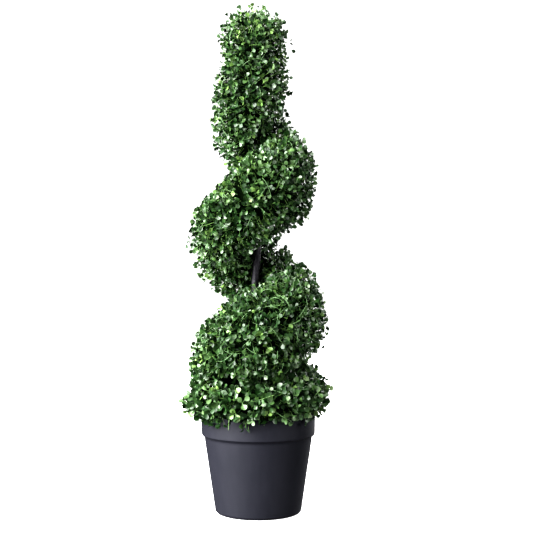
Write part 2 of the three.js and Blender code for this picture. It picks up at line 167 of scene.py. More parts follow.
RUNNER_TURNS = ((0.9, 1.2), (1.6, 1.9))  # over which they become many, and few again
RUNNER_FEW = 0.25  # as a share of many
RUNNER_FALL = 0.6  # how much they turn downwards
RUNNER_LENGTH = (20 * MM, 38 * MM)
RUNNER_RADIUS = 0.5 * MM
RUNNER_ARCH = 9 * MM
RUNNER_SUNK = 4 * MM
RUNNER_CLEAR = 1 * MM
RUNNER_SHARE = 1.1  # of the rope's reach
WIRE_RADIUS = 1.1 * MM
WIRE_SAG = 5 * MM
WIRE_SHARE = 0.75  # of the way from the rod's middle to the rope's
SHORTEST_WIRE = 24 * MM
# A direction that no stem follows, from which each stem's two sideways directions are worked out.
ASKEW = np.array([0.31, 0.52, 0.79])


def smooth(value, low, high):
    share = np.clip((value - low) / (high - low), 0, 1)
    return share * share * (3 - 2 * share)


def mix(a, b, share):
    return a + (b - a) * share


def unit(vectors):
    return vectors / np.linalg.norm(vectors, axis=-1, keepdims=True)


# ------------------------------------------------------------------ the rod's and the rope's lines
def lean_at(height):
    return -LEAN * np.maximum(0, height - POT_HEIGHT)


def rod_at(height):
    """The rod's middle, as x and y, and its radius."""
    height = np.asarray(height, float)
    share = np.clip((height - FILL_TOP) / (ROD_TIP_HEIGHT - FILL_TOP), 0, 1)
    sway = SWAY * smooth(height, FILL_TOP, FILL_TOP + SWAY_EASE)
    angle = TURN * height / SWAY_LENGTH + SWAY_PHASE
    x = lean_at(height) + sway * np.cos(angle)
    return x, sway * np.sin(angle), mix(ROD_FOOT_RADIUS, ROD_TIP_RADIUS, share)


def through_knots(values, turns):
    """A smooth line through values that stand a knot's length apart."""
    last = len(values) - 1
    knot = np.clip((turns / KNOT_TURNS).astype(int), 0, last - 1)
    share = turns / KNOT_TURNS - knot
    slopes = np.gradient(values)
    curved = share * (1 - share) * ((1 - share) * slopes[knot] - share * slopes[knot + 1])
    return mix(values[knot], values[knot + 1], share * share * (3 - 2 * share)) + curved


def rope_middle(turns):
    angle = START_ANGLE + TURN * turns
    rising = smooth(turns, *FRONT_RISES[0]) - smooth(turns, *FRONT_RISES[1])
    height = through_knots(KNOT_HEIGHTS, turns) - FRONT_RISE * rising * np.sin(angle)
    radius = np.maximum(through_knots(KNOT_RADII, turns), 0)
    x = lean_at(height) + radius * np.cos(angle)
    return np.stack([x, radius * np.sin(angle), height], axis=-1)


def rope_at(turns):
    """The middle, the three directions of the section and the leaves' reach, after so many turns."""
    turns = np.asarray(turns, float)
    step = 1e-3
    along = unit(rope_middle(turns + step) - rope_middle(turns - step))
    angle = START_ANGLE + TURN * turns
    out = np.stack([np.cos(angle), np.sin(angle), np.zeros_like(angle)], axis=-1)
    out = unit(out - along * np.sum(out * along, axis=-1, keepdims=True))
    across = unit(np.cross(along, out))
    share = turns / TURNS
    grown = smooth(turns, *FULL_HEIGHT)
    half_height = mix(HALF_HEIGHT[0], mix(HALF_HEIGHT[1], HALF_HEIGHT[2], share), grown)
    return {
        "turns": turns,
        "middle": rope_middle(turns),
        "along": along,
        "out": out,
        "across": across,
        "half_width": mix(HALF_WIDTH[0], HALF_WIDTH[1], share),
        "half_height": half_height,
        "power": mix(SECTION_POWER[0], SECTION_POWER[1], smooth(turns, SQUARING_TURNS, TURNS)),
        "sag": SECTION_SAG * (1 - smooth(turns, *SAG_ENDS)),
    }


ROPE = rope_at(np.linspace(0, TURNS, STATIONS))


def place_of(points):
    """The place on the rope that each point belongs to, in turns, and its share of the reach."""
    turns = np.empty(len(points))
    shares = np.empty(len(points))
    block = 4000
    for first in range(0, len(points), block):
        some = points[first : first + block]
        gap = some[:, None, :] - ROPE["middle"][None, :, :]
        upright = gap[..., 2] / ROPE["half_height"]
        wide = ROPE["half_width"] * (1 - ROPE["sag"] * np.clip(upright, -1, 1))
        level = np.hypot(gap[..., 0], gap[..., 1]) / wide
        share = level ** ROPE["power"] + np.abs(upright) ** ROPE["power"]
        share = share ** (1 / ROPE["power"])
        best = share.argmin(axis=1)
        turns[first : first + block] = ROPE["turns"][best]
        shares[first : first + block] = share[np.arange(len(some)), best]
    return turns, shares


def pot_radius(height):
    heights = [0, WALL_TOP, BAND_FOOT, POT_HEIGHT]
    return np.interp(height, heights, [FOOT_RADIUS, WALL_TOP_RADIUS, BAND_RADIUS, RIM_RADIUS])


def clear_of_rod(points, margin):
    x, y, radius = rod_at(points[:, 2])
    away = np.hypot(points[:, 0] - x, points[:, 1] - y)
    return (away > radius + margin) | (points[:, 2] > ROD_TIP_HEIGHT + margin)


def clear_of_pot(points, margin):
    """Whether points are clear of the pot and don't hang down over its rim too far."""
    radius = np.hypot(points[:, 0], points[:, 1])
    wall = pot_radius(points[:, 2])
    outside = radius > wall + margin
    inside = (radius < wall - WALL - margin) & (points[:, 2] > FILL_TOP + margin)
    ahead = -points[:, 1] / np.maximum(radius, MM)
    droop = mix(SIDE_DROOP, DROOP, smooth(np.abs(ahead), *DROOP_GROWS))
    hanging = (points[:, 2] > POT_HEIGHT - droop) & (outside | inside)
    return (points[:, 2] > POT_HEIGHT + margin) | hanging


# ------------------------------------------------------------------ meshes
def mesh_piece(name, points, faces, material, smooth_faces=True):
    """A piece from an array of corners and an array of faces that all have as many corners."""
    sides = faces.shape[1]
    mesh = bpy.data.meshes.new(name)
    mesh.vertices.add(len(points))
    mesh.vertices.foreach_set("co", points.astype(np.float32).ravel())
    mesh.loops.add(faces.size)
    mesh.loops.foreach_set("vertex_index", faces.astype(np.int32).ravel())
    mesh.polygons.add(len(faces))
    mesh.polygons.foreach_set("loop_start", np.arange(0, faces.size, sides, dtype=np.int32))
    mesh.polygons.foreach_set("use_smooth", np.full(len(faces), smooth_faces))
    mesh.update(calc_edges=True)
    mesh.validate()
    mesh.materials.append(material)
    piece = bpy.data.objects.new(name, mesh)
    bpy.context.scene.collection.objects.link(piece)
    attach(piece, "root")
    return piece


def tube_faces(rings, sides):
    """The four-sided faces of a tube whose corners are counted ring by ring."""
    ring, side = np.meshgrid(np.arange(rings - 1), np.arange(sides), indexing="ij")
    a = (ring * sides + side).ravel()
    b = (ring * sides + (side + 1) % sides).ravel()
    return np.stack([a, b, b + sides, a + sides], axis=1)


def copies_of(faces, corners, count):
    """The faces of so many copies of a shape with so many corners."""
    shifts = corners * np.arange(count)[:, None, None]
    return (faces[None, :, :] + shifts).reshape(-1, faces.shape[1])


def ring_corners(centre, radius, first, second, sides):
    """The corners of a ring round each centre, in the plane of two directions, side by side."""
    angles = [TURN * side / sides for side in range(sides)]
    return [centre + radius * (math.cos(a) * first + math.sin(a) * second) for a in angles]


def crosswise(along):
    """Two directions that are square to each given one and to each other."""
    first = unit(np.cross(along, ASKEW))
    return first, np.cross(along, first)


def add_faces(mesh, faces):
    shape = bmesh.new()
    shape.from_mesh(mesh)
    shape.verts.ensure_lookup_table()
    for corners in faces:
        shape.faces.new([shape.verts[int(i)] for i in corners]).smooth = True
    shape.to_mesh(mesh)
    shape.free()


def close_ends(piece, rings, sides):
    """Closes both ends of a tube."""
    last = (rings - 1) * sides
    add_faces(piece.data, [list(range(sides))[::-1], [last + i for i in range(sides)]])


# ------------------------------------------------------------------ materials
class Value:
    """A socket of a material's nodes, on which shader maths is written as Python expressions."""

    def __init__(self, finish, socket):
        self.finish = finish
        self.socket = socket

    def maths(self, operation, *values):
        return self.finish.node("ShaderNodeMath", {"operation": operation}, dict(enumerate(values)))

    def __add__(self, other):
        return self.maths("ADD", self, other)

    def __radd__(self, other):
        return self.maths("ADD", other, self)

    def __sub__(self, other):
        return self.maths("SUBTRACT", self, other)

    def __rsub__(self, other):
        return self.maths("SUBTRACT", other, self)

    def __mul__(self, other):
        return self.maths("MULTIPLY", self, other)

    def __rmul__(self, other):
        return self.maths("MULTIPLY", other, self)


class Finish:
    """A material under construction. It ends in one Principled surface."""

    def __init__(self, name):
        self.material = bpy.data.materials.new(name)
        self.material.use_nodes = True
        self.tree = self.material.node_tree
        self.tree.nodes.clear()
        self.place = self.node("ShaderNodeTexCoord", output="Object")

    def node(self, kind, settings=None, values=None, output=0):
        made = self.tree.nodes.new(kind)
        for name, setting in (settings or {}).items():
            if name == "stops":
                self.set_stops(made.color_ramp, setting)
            else:
                setattr(made, name, setting)
        for name, value in (values or {}).items():
            if isinstance(value, Value):
                self.tree.links.new(value.socket, made.inputs[name])
            else:
                made.inputs[name].default_value = value
        return Value(self, made.outputs[output])

    def set_stops(self, ramp, stops):
        while len(ramp.elements) < len(stops):
            ramp.elements.new(1)
        for element, (position, shade) in zip(ramp.elements, stops):
            element.position = position
            element.color = (shade, shade, shade, 1)

    def noise(self, scale, detail=3, roughness=0.5, place=None):
        where = place or self.place
        values = {"Vector": where, "Scale": scale, "Detail": detail, "Roughness": roughness}
        return self.node("ShaderNodeTexNoise", values=values)

    def ramp(self, value, *stops):
        return self.node("ShaderNodeValToRGB", {"stops": stops}, {"Fac": value})

    def stretched(self, scale):
        return self.node("ShaderNodeMapping", values={"Vector": self.place, "Scale": scale})

    def blend(self, share, low, high):
        """A colour between two."""
        values = {0: share, 6: low, 7: high}
        return self.node("ShaderNodeMix", {"data_type": "RGBA"}, values, output=2)

    def bump(self, height, strength, distance):
        values = {"Height": height, "Strength": strength, "Distance": distance}
        return self.node("ShaderNodeBump", values=values)

    def surface(self, values):
        shader = self.node("ShaderNodeBsdfPrincipled", values=values)
        end = self.tree.nodes.new("ShaderNodeOutputMaterial")
        self.tree.links.new(shader.socket, end.inputs["Surface"])
        return self.material


def colour(red, green, blue):
    return (red, green, blue, 1)


def pot_plastic():
    finish = Finish("charcoal_pot_plastic")
    grain = finish.noise(2600, 2)
    cloud = finish.noise(14, 4)
    streaks = finish.noise(9, 3, place=finish.stretched((9, 9, 1)))
    dust = finish.ramp(cloud * 0.6 + streaks * 0.4, (0.42, 0), (0.66, 1))
    shade = finish.blend(dust, colour(0.0102, 0.0105, 0.0150), colour(0.0130, 0.0132, 0.0182))
    return finish.surface({
        "Base Color": shade,
        "Roughness": 0.52 + 0.14 * grain + 0.05 * cloud,
        "Normal": finish.bump(grain, 0.35, 0.25 * MM),
        "Specular IOR Level": 0.17,
    })


def cast_filling():
    finish = Finish("rough_cast_filling")
    grit = finish.noise(700, 6, 0.65)
    patches = finish.noise(45, 3)
    shade = finish.blend(patches, colour(0.030, 0.026, 0.022), colour(0.085, 0.075, 0.062))
    return finish.surface({
        "Base Color": shade,
        "Roughness": 0.8 + 0.18 * grit,
        "Normal": finish.bump(grit, 0.8, 1.5 * MM),
    })


def film_wrap():
    finish = Finish("dark_film_wrap")
    fibres = finish.noise(900, 3, place=finish.stretched((1, 1, 0.07)))
    smudge = finish.noise(60, 3)
    shade = finish.blend(smudge, colour(0.005, 0.0045, 0.007), colour(0.015, 0.013, 0.018))
    return finish.surface({
        "Base Color": shade,
        "Roughness": 0.46 + 0.22 * fibres,
        "Normal": finish.bump(fibres, 0.5, 0.4 * MM),
        "Specular IOR Level": 0.25,
    })


def backing():
    finish = Finish("painted_shade_leaf_backing")
    litter = finish.noise(420, 5, 0.6)
    patches = finish.noise(90, 2)
    # The backing is real, but this near-black is painted shade for the depths between the sprigs.
    shade = finish.blend(patches, colour(0.001, 0.003, 0.001), colour(0.004, 0.012, 0.002))
    return finish.surface({
        "Base Color": shade,
        "Roughness": 0.7 + 0.25 * litter,
        "Normal": finish.bump(litter, 1.0, 3 * MM),
        "Specular IOR Level": 0.05,
    })


def stem_plastic():
    finish = Finish("pale_stem_plastic")
    along = finish.noise(300, 3)
    shade = finish.blend(along, colour(0.055, 0.13, 0.03), colour(0.20, 0.33, 0.10))
    return finish.surface({
        "Base Color": shade,
        "Roughness": 0.36 + 0.2 * along,
        "Normal": finish.bump(along, 0.3, 0.3 * MM),
    })


def runner_plastic():
    finish = Finish("grey_green_runner_plastic")
    along = finish.noise(200, 3)
    shade = finish.blend(along, colour(0.05, 0.11, 0.035), colour(0.17, 0.28, 0.13))
    return finish.surface({
        "Base Color": shade,
        "Roughness": 0.4 + 0.2 * along,
        "Normal": finish.bump(along, 0.3, 0.3 * MM),
    })


def leaf_plastic(name, dark, light, roughness, sheen):
    """Moulded leaf plastic. The two colours are close: what tells the leaves apart is their spray. The
    inner look's darker colours are painted shade.
    """
    finish = Finish(name)
    tone = finish.noise(70, 2)
    veins = finish.noise(1500, 2)
    shade = finish.blend(finish.ramp(tone, (0.35, 0), (0.65, 1)), colour(*dark), colour(*light))
    return finish.surface({
        "Base Color": shade,
        "Roughness": roughness + 0.16 * veins,
        "Normal": finish.bump(veins, 0.18, 0.2 * MM),
        "Specular IOR Level": sheen,
    })


# The sprays' looks: the share of the sprigs that has each, the two colours that its leaves vary
# between, their least roughness and their sheen. The inner look is for each sprig's lowest pair: a
# darker, duller copy of the leaf plastic, which is painted shade for the leaves deep in the foliage.
SPRAYS = {
    "deep": (0.36, (0.0040, 0.0245, 0.0016), (0.010, 0.041, 0.004), 0.40, 0.65),
    "mid": (0.34, (0.013, 0.045, 0.006), (0.025, 0.066, 0.012), 0.40, 0.85),
    "fresh": (0.23, (0.031, 0.074, 0.016), (0.051, 0.103, 0.025), 0.41, 0.9),
    "lime": (0.07, (0.069, 0.134, 0.028), (0.106, 0.181, 0.043), 0.43, 0.8),
    "inner_painted_shade": (0.0, (0.0012, 0.0100, 0.0005), (0.004, 0.020, 0.0015), 0.48, 0.2),
}
INNER_PAINTED_SHADE = list(SPRAYS).index("inner_painted_shade")


# ------------------------------------------------------------------ pot, filling and rod
def arc(centre, radius, first, last, steps):
    """Points on an arc in the profile's plane, from one angle in degrees to another."""
    angles = np.radians(np.linspace(first, last, steps))
    return [(centre[0] + radius * math.cos(a), centre[1] + radius * math.sin(a)) for a in angles]


def pot_profile():
    """The pot's section from the middle of its underside, round the rim and down to its floor."""
    lip = LIP_ROUNDING
    edge = EDGE_ROUNDING
    foot = pot_radius(FOOT_ROUNDING) - FOOT_ROUNDING
    wall_heights = np.linspace(0.16, 0.97, 12) * WALL_TOP
    band_heights = np.linspace(BAND_FOOT + 3 * edge, POT_HEIGHT - 3 * lip, 5)
    return [
        (0, 0),
        (foot * 0.5, 0),
        *arc((foot, FOOT_ROUNDING), FOOT_ROUNDING, -90, -4, 10),
        *[(pot_radius(h), h) for h in wall_heights],
        (WALL_TOP_RADIUS - 0.15 * MM, WALL_TOP - 0.8 * MM),
        (WALL_TOP_RADIUS + 0.25 * MM, WALL_TOP),
        (BAND_RADIUS - edge, BAND_FOOT - edge),
        *arc((BAND_RADIUS - edge, BAND_FOOT + edge * 0.2), edge, -55, 0, 5),
        *[(pot_radius(h), h) for h in band_heights],
        *arc((RIM_RADIUS - lip, POT_HEIGHT - lip), lip, 0, 90, 6),
        *arc((RIM_RADIUS - WALL + lip, POT_HEIGHT - lip), lip, 90, 180, 6),
        (BAND_RADIUS - WALL, BAND_FOOT),
        (WALL_TOP_RADIUS - WALL, WALL_TOP),
        (pot_radius(WALL) - WALL, WALL),
        (0, WALL),
    ]


def turned_piece(name, profile, sides, material):
    """A profile turned round the upright axis. Its first and last points are on the axis."""
    rings = np.array(profile[1:-1])
    angle = np.linspace(0, TURN, sides, endpoint=False)
    x = rings[:, 0, None] * np.cos(angle)
    y = rings[:, 0, None] * np.sin(angle)
    z = np.repeat(rings[:, 1, None], sides, axis=1)
    points = np.stack([x, y, z], axis=-1).reshape(-1, 3)
    faces = tube_faces(len(rings), sides)
    caps = []
    for pole, first, turn in ((profile[0], 0, -1), (profile[-1], len(rings) - 1, 1)):
        points = np.vstack([points, [[0, 0, pole[1]]]])
        side = first * sides + np.arange(sides)[::turn]
        caps += [[a, b, len(points) - 1] for a, b in zip(side, np.roll(side, -1))]
    piece = mesh_piece(name, points, faces, material)
    add_faces(piece.data, caps)
    return piece


def make_pot():
    pot = turned_piece("pot_shell", pot_profile(), 224, pot_plastic())
    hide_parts("pot")


def finish_filling():
    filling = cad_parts["pot_fill"]
    filling.data.materials.clear()
    filling.data.materials.append(cast_filling())


def make_rod():
    """The rod in its wrap of film, which is wound on in overlapping turns and puckers lengthwise."""
    sides, rings = 40, 560
    height = np.linspace(rod_low.z - 2 * MM, ROD_TIP_HEIGHT, rings)[:, None]
    angle = np.linspace(0, TURN, sides, endpoint=False)[None, :]
    x, y, radius = rod_at(height)
    wind = (height / WRAP_PITCH + angle / TURN) % 1
    overlap = WRAP_OVERLAP * smooth(wind, 0, 0.12) * (1 - smooth(wind, 0.75, 1))
    pleats = PLEAT_HEIGHT * np.sin(5 * angle + 40 * height + 2 * np.sin(90 * height))
    lumps = LUMP_HEIGHT * np.sin(2 * angle + 130 * height) * np.sin(61 * height)
    out = radius - WRAP_SUNK + overlap + pleats + lumps
    surface = [x + out * np.cos(angle), y + out * np.sin(angle), height + 0 * angle]
    points = np.stack(surface, axis=-1).reshape(-1, 3)
    rod = mesh_piece("wrapped_rod", points, tube_faces(rings, sides), film_wrap())
    close_ends(rod, rings, sides)
    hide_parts("trunk")


def make_wires():
    """The short wires that tie the rope to the rod, where the rope stands away from it."""
    sides, rings = 8, 5
    turns = (np.arange(MASSES) + 0.5) / MASSES * TURNS
    middle = rope_at(turns)["middle"]
    x, y, _ = rod_at(middle[:, 2])
    start = np.stack([x, y, middle[:, 2]], axis=1)
    apart = np.linalg.norm(middle - start, axis=1) > SHORTEST_WIRE
    start, middle = start[apart], middle[apart]
    upright = np.array([0, 0, 1.0])
    aside = np.cross(unit(middle - start), upright)
    corners = []
    for share in np.linspace(0, WIRE_SHARE, rings):
        centre = mix(start, middle, share) - upright * (WIRE_SAG * share * (1 - share))
        corners += ring_corners(centre, WIRE_RADIUS, upright, aside, sides)
    points = np.stack(corners, axis=1)
    faces = copies_of(tube_faces(rings, sides), rings * sides, len(points))
    mesh_piece("tie_wires", points.reshape(-1, 3), faces, film_wrap())


# ------------------------------------------------------------------ the rope's core
def lumps_of(points, scale, rng):
    """A smooth pattern of lumps from -1 to 1, as a few crossing waves."""
    waves = 6
    total = np.zeros(len(points))
    for _ in range(waves):
        wave = unit(rng.normal(size=3)) * scale * rng.uniform(0.7, 1.4)
        total += np.sin(points @ wave + rng.uniform(0, TURN))
    return total / waves


def make_core(rng):
    """The dark backing that the sprigs are set in, wound as the rope and domed at both ends. It is a
    real part, but its near-black colour is painted shade for the depths of the foliage.
    """
    sides, rings, dome = 40, 300, 10
    rope = rope_at(np.linspace(0, TURNS, rings))
    angle = np.linspace(0, TURN, sides, endpoint=False)
    high = np.hypot(
        rope["half_height"] * rope["across"][:, 2],
        rope["half_width"] * np.hypot(rope["across"][:, 0], rope["across"][:, 1]),
    )

    def ring(i, middle, share):
        wide = rope["out"][i] * (rope["half_width"][i] * share)
        tall = rope["across"][i] * (high[i] * share)
        return middle + np.cos(angle)[:, None] * wide + np.sin(angle)[:, None] * tall

    def dome_rings(i, sign):
        reach = rope["half_height"][i] * abs(rope["along"][i, 2]) + rope["half_width"][i] * 0.3
        past = sign * rope["along"][i] * reach * CORE_SHARE
        slopes = np.linspace(0, 1.5, dome + 1)[1:]
        middles = [rope["middle"][i] + past * math.sin(s) for s in slopes]
        return [ring(i, middle, CORE_SHARE * math.cos(s)) for middle, s in zip(middles, slopes)]

    skin = dome_rings(0, -1)[::-1]
    skin += [ring(i, rope["middle"][i], CORE_SHARE) for i in range(rings)]
    skin += dome_rings(rings - 1, 1)
    points = np.array(skin).reshape(-1, 3)
    centres = np.repeat(np.array([r.mean(axis=0) for r in skin]), sides, axis=0)
    lumps = CORE_LUMPS * lumps_of(points, CORE_LUMP_WAVES, rng)
    points = centres + (points - centres) * (1 + lumps)[:, None]
    points[:, 2] = np.maximum(points[:, 2], FILL_TOP + CORE_GAP["filling"])
    low = points[:, 2] < POT_HEIGHT + CORE_GAP["rim"]
    mouth = RIM_RADIUS - WALL - CORE_GAP["wall"]
    away = np.hypot(points[:, 0], points[:, 1])
    shrink = np.where(low & (away > mouth), mouth / away, 1)
    points[:, :2] *= shrink[:, None]
    core = mesh_piece("rope_core", points, tube_faces(len(skin), sides), backing())
    close_ends(core, len(skin), sides)
    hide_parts(*FOLIAGE)


# ------------------------------------------------------------------ sprigs
def roomy(points, turns):
    """Whether points lie within the leaves' reach, clear of the pot and on their side of the rod."""
    within = place_of(points)[1] < SPRIG_SHARE
    within &= clear_of_pot(points, SPRIG_CLEAR) & beside_rod(points, turns)
    return within & under_trim(points, turns)


def under_trim(points, turns, past=0):
    """Whether points stay under the slopes to which the rope's upper edge is trimmed on its left."""
    return points[:, 2] - points[:, 0] < np.interp(turns, *TRIMS) + past


def beside_rod(points, turns):
    """Whether points stay on their rope's own side of the rod, where the rope stands away from it."""
    x, y, _ = rod_at(points[:, 2])
    angle = START_ANGLE + TURN * turns
    side = (points[:, 0] - x) * np.cos(angle) + (points[:, 1] - y) * np.sin(angle)
    return side > mix(OWN_SIDE[0], OWN_SIDE[1], smooth(turns, *OWN_SIDE_ENDS))


def sprig_candidates(rng):
    """Places on the rope, in turns, and the directions in which sprigs could stand out of it."""
    spread = rope_at(np.linspace(0, TURNS, 200))
    steps = np.linalg.norm(np.diff(spread["middle"], axis=0), axis=1)
    lengths = np.concatenate([[0], np.cumsum(steps)])
    reached = rng.uniform(-SPRIG_CAP, lengths[-1] + SPRIG_CAP, SPRIG_TRIES)
    turns = np.interp(reached, lengths, spread["turns"])
    beyond = np.where(reached < 0, reached, np.maximum(reached - lengths[-1], 0)) / SPRIG_CAP
    rope = rope_at(turns)
    angle = rng.uniform(0, TURN, SPRIG_TRIES)[:, None]
    level = np.sqrt(1 - beyond**2)[:, None]
    flat = rope["out"] * np.cos(angle) + rope["across"] * np.sin(angle)
    return turns, unit(flat * level + rope["along"] * beyond[:, None])


def reach_of(turns, directions, middle):
    """How far from the rope's middle the leaves reach along each direction."""
    reach = np.full(len(turns), FIRST_REACH)
    growing = np.arange(len(turns))
    while len(growing):
        further = reach[growing] + REACH_STEP
        points = middle[growing] + directions[growing] * further[:, None]
        growing = growing[roomy(points, turns[growing])]
        reach[growing] += REACH_STEP
    return reach


def spaced(points, spacing):
    """The indices of points that keep a spacing to the ones taken before them."""
    taken, cells = [], {}
    for index, point in enumerate(points):
        cell = tuple((point // spacing).astype(int))
        near = [
            other
            for dx in (-1, 0, 1)
            for dy in (-1, 0, 1)
            for dz in (-1, 0, 1)
            for other in cells.get((cell[0] + dx, cell[1] + dy, cell[2] + dz), ())
        ]
        if all(np.sum((points[other] - point) ** 2) > spacing**2 for other in near):
            taken.append(index)
            cells.setdefault(cell, []).append(index)
    return np.array(taken)


def clear_depth(tips, directions):
    """How deep behind their tips stems can be rooted without touching the rod."""
    depth = np.zeros(len(tips))
    clear = np.ones(len(tips), bool)
    for share in np.linspace(0, 1, 12):
        clear &= clear_of_rod(tips - directions * (SPRIG_DEPTH * share), STEM_CLEAR)
        depth[clear] = SPRIG_DEPTH * share
    return depth


def lay_sprigs(rng):
    """The stems of all sprigs: their roots, first directions, leans, lengths and colours."""
    turns, directions = sprig_candidates(rng)
    middle = rope_at(turns)["middle"]
    reach = reach_of(turns, directions, middle)
    outer = middle + directions * reach[:, None]
    turns = place_of(outer)[0]
    directions = unit(outer - rope_at(turns)["middle"] + directions * SPRIG_FAN)
    tips = outer - directions * TIP_INSET
    depth = clear_depth(tips, directions)
    kept = np.flatnonzero((reach > LEAST_REACH) & (depth > SHORTEST_STEM))
    kept = kept[spaced(tips[kept], SPRIG_SPACING)]
    count = len(kept)
    directions = directions[kept]
    stray = rng.uniform(size=count) < STRAY_SHARE
    depth = depth[kept] * rng.uniform(*STEM_SHARE, count)
    lean = rng.normal(size=(count, 3)) * SPRIG_TILT
    uneven = rng.normal(0, UNEVENNESS, count)
    shares = np.array([spray[0] for spray in SPRAYS.values()])
    sprigs = {
        "turns": turns[kept],
        "roots": tips[kept] - directions * depth[:, None],
        "directions": directions,
        "lean": lean - directions * np.sum(lean * directions, axis=1, keepdims=True),
        "length": depth + uneven + stray * rng.uniform(*STRAY_REACH, count),
        "stray": stray,
        "pairs": np.ones(count, bool),
        "colours": rng.choice(len(shares), count, p=shares / shares.sum()),
    }
    crown = crown_sprigs(rng)
    return {key: np.concatenate([sprigs[key], crown[key]]) for key in sprigs}


def crown_sprigs(rng):
    """A few long bare stems that stand out of the rope's top, each with two leaves at its end."""
    count = len(CROWN_STRAYS)
    x, z = np.array(CROWN_STRAYS).T
    tips = np.stack([x, rng.uniform(*CROWN_STRAY_Y, count) * MM, z], axis=1)
    roots = tips * (CROWN_STRAY_FOOT, CROWN_STRAY_FOOT, 1) - (0, 0, CROWN_STRAY_DEPTH)
    length = np.linalg.norm(tips - roots, axis=1)
    return {
        "turns": np.full(count, TURNS),
        "roots": roots,
        "directions": (tips - roots) / length[:, None],
        "lean": np.zeros((count, 3)),
        "length": length,
        "stray": np.ones(count, bool),
        "pairs": np.zeros(count, bool),
        "colours": np.zeros(count, int),
    }


def stem_points(sprigs, share):
    """Points on the sprigs' stems: they bow sideways, more so towards the tip."""
    reach = sprigs["length"] * share
    side = sprigs["lean"] * (sprigs["length"] * share**SPRIG_BOW)[:, None]
    return sprigs["roots"] + sprigs["directions"] * reach[:, None] + side


def stem_direction(sprigs, share):
    return unit(stem_points(sprigs, share + 0.02) - stem_points(sprigs, share - 0.02))


def make_stems(sprigs):
    sides = 3
    shares = np.array([0.02, 0.35, 0.68, 1.0])
    count = len(sprigs["turns"])
    first, second = crosswise(stem_direction(sprigs, np.full(count, 0.5)))
    corners = []
    for share in shares:
        radius = STEM_RADIUS * (1 - 0.5 * share)
        centre = stem_points(sprigs, np.full(count, share))
        corners += ring_corners(centre, radius, first, second, sides)
    points = np.stack(corners, axis=1).reshape(-1, 3)
    faces = copies_of(tube_faces(len(shares), sides), len(corners), count)
    mesh_piece("sprig_stems", points, faces, stem_plastic())


def make_runners(sprigs, rng):
    """Thin bare stems that arch over the leaves, most of them on the second turn's outer side."""
    sides, rings = 3, 6
    many = smooth(sprigs["turns"], *RUNNER_TURNS[0]) * (1 - smooth(sprigs["turns"], *RUNNER_TURNS[1]))
    wanted = mix(RUNNER_FEW, 1.0, many)
    chosen = rng.choice(len(wanted), RUNNERS, replace=False, p=wanted / wanted.sum())
    tips = stem_points(sprigs, np.ones(len(wanted)))[chosen]
    outward = sprigs["directions"][chosen]
    along = rng.normal(size=(RUNNERS, 3)) - (0, 0, RUNNER_FALL)
    along = unit(along - outward * np.sum(along * outward, axis=1, keepdims=True))
    length = rng.uniform(*RUNNER_LENGTH, RUNNERS)
    aside = np.cross(along, outward)
    corners = []
    for ring in range(rings):
        share = ring / (rings - 1)
        rise = RUNNER_ARCH * (4 * share * (1 - share)) - RUNNER_SUNK
        centre = tips + along * (length * (share - 0.5))[:, None] + outward * rise
        corners += ring_corners(centre, RUNNER_RADIUS, outward, aside, sides)
    points = np.stack(corners, axis=1)
    flat = points.reshape(-1, 3)
    clear = clear_of_rod(flat, RUNNER_CLEAR) & clear_of_pot(flat, RUNNER_CLEAR)
    clear &= place_of(flat)[1] < RUNNER_SHARE
    clear &= under_trim(flat, np.repeat(sprigs["turns"][chosen], points.shape[1]))
    points = points[clear.reshape(len(points), -1).all(axis=1)]
    faces = copies_of(tube_faces(rings, sides), rings * sides, len(points))
    mesh_piece("runner_stems", points.reshape(-1, 3), faces, runner_plastic())


# ------------------------------------------------------------------ leaves
# Rows across a leaf, from its root to its tip: the place along it and the half-width, as shares.
LEAF_ROWS = ((0.0, 0.07), (0.18, 0.12), (0.36, 0.66), (0.58, 1.0), (0.80, 0.92), (0.94, 0.52))


def leaf_shape():
    """The corners of one leaf as shares of its length and half-width, and its triangles."""
    corners = [(along, side * half) for along, half in LEAF_ROWS for side in (-1, 0, 1)]
    corners.append((1.0, 0.0))
    faces = []
    for row in range(len(LEAF_ROWS) - 1):
        for side in range(2):
            a = row * 3 + side
            faces += [(a, a + 1, a + 4), (a, a + 4, a + 3)]
    a = (len(LEAF_ROWS) - 1) * 3
    tip = len(corners) - 1
    faces += [(a, a + 1, tip), (a + 1, a + 2, tip)]
    return np.array(corners), np.array(faces)


def make_leaves(name, leaves, material):
    corners, faces = leaf_shape()
    along, aside = corners[:, 0][None, :], corners[:, 1][None, :]
    length, half = leaves["length"][:, None], leaves["width"][:, None] / 2
    cup, curl = leaves["cup"][:, None], leaves["curl"][:, None]
    rise = half * cup * np.abs(aside) ** 1.5 * smooth(along, 0.1, 0.5) - length * curl * along**2
    across = np.cross(leaves["facing"], leaves["growth"])
    points = leaves["root"][:, None, :]
    points = points + leaves["growth"][:, None, :] * (length * along)[..., None]
    points = points + across[:, None, :] * (half * aside)[..., None]
    points = points + leaves["facing"][:, None, :] * rise[..., None]
    faces = copies_of(faces, len(corners), len(length))
    return mesh_piece(name, points.reshape(-1, 3), faces, material)


